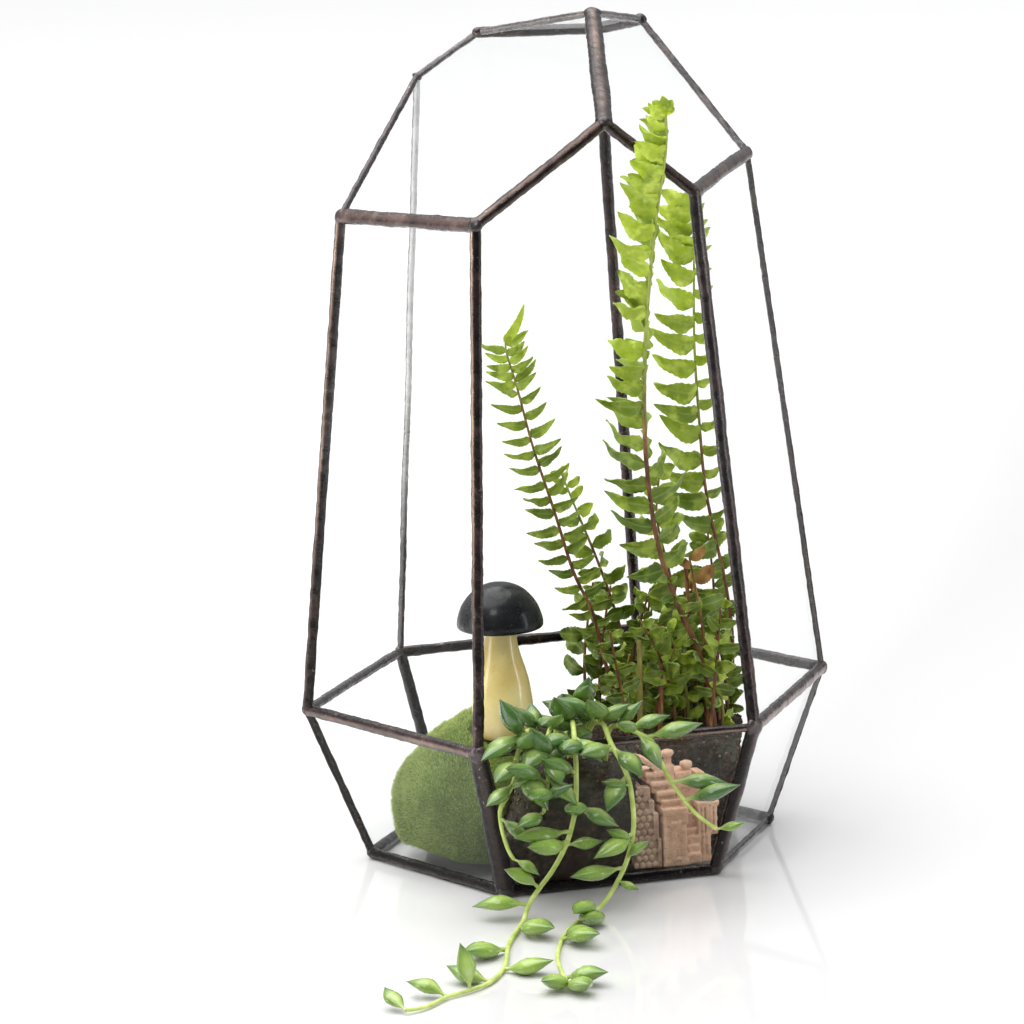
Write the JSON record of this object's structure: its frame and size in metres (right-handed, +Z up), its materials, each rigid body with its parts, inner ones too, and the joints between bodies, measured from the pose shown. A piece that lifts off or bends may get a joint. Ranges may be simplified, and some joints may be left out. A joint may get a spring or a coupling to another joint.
{
  "type": "geometric glass terrarium",
  "caption": "Faceted glass terrarium with dark soldered seams and an open front, planted with fern fronds, a moss mound and a trailing succulent beside small garden ornaments.",
  "frame": {"origin": "middle of the base pane's underside, on the surface that the terrarium stands on", "axes": "+Z up; the open face looks along -Y, and +X is to the viewer's right"},
  "size_m": [0.1914, 0.2447, 0.2642],
  "materials": {
    "patina_solder": "dark patina on hand-run solder, half gloss, with bare bright and coppery spots",
    "clear_glass": "clear polished window glass",
    "dark_soil": "moist crumbly potting soil",
    "moss": "short dense velvet of moss",
    "charcoal_glaze": "dark glossy glaze",
    "cream_glaze": "cream-yellow glossy glaze",
    "sandstone": "matt cast stone, pale terracotta",
    "cobble_stone": "matt brown cobbles with dark joints",
    "fern_leaf": "thin satin leaf, lime green towards the tips, red-brown midrib",
    "succulent_leaf": "smooth waxy leaf with a clear window, pale yellow-green stem"
  },
  "bodies": {
    "root": {"base_rim": "patina_solder", "girdle_rim": "patina_solder", "crown_rim": "patina_solder", "lower_post_front_left": "patina_solder", "lower_post_front_right": "patina_solder", "lower_post_right": "patina_solder", "lower_post_back_right": "patina_solder", "lower_post_back_left": "patina_solder", "lower_post_left": "patina_solder", "upper_post_front_left": "patina_solder", "upper_post_front_right": "patina_solder", "upper_post_right": "patina_solder", "upper_post_back_right": "patina_solder", "upper_post_back_left": "patina_solder", "upper_post_left": "patina_solder", "pane_base": "clear_glass", "pane_lower_front": "clear_glass", "pane_lower_right_front": "clear_glass", "pane_lower_right_back": "clear_glass", "pane_lower_back": "clear_glass", "pane_lower_left_back": "clear_glass", "pane_lower_left_front": "clear_glass", "pane_upper_right_front": "clear_glass", "pane_upper_right_back": "clear_glass", "pane_upper_back": "clear_glass", "pane_upper_left_back": "clear_glass", "pane_upper_left_front": "clear_glass", "pane_roof_left": "clear_glass", "pane_roof_right": "clear_glass", "pane_roof_back": "clear_glass", "soil": "dark_soil", "moss_mound": "moss", "mushroom_stem": "cream_glaze", "mushroom_cap": "charcoal_glaze", "ruin_stairs": "sandstone", "ruin_cobbles": "cobble_stone", "fern_tall_front": "fern_leaf", "fern_tall_right": "fern_leaf", "fern_left": "fern_leaf", "fern_left_back": "fern_leaf", "fern_middle": "fern_leaf", "fern_browned": "fern_leaf", "fern_short_left": "fern_leaf", "fern_young": "fern_leaf", "fern_right_back": "fern_leaf", "fern_right_edge": "fern_leaf", "fern_back": "fern_leaf", "fern_back_left": "fern_leaf", "trail_long": "succulent_leaf", "trail_middle": "succulent_leaf", "trail_right": "succulent_leaf", "trail_left": "succulent_leaf", "shoot_spill": "succulent_leaf", "shoot_top": "succulent_leaf"}
  },
  "joints": []
}
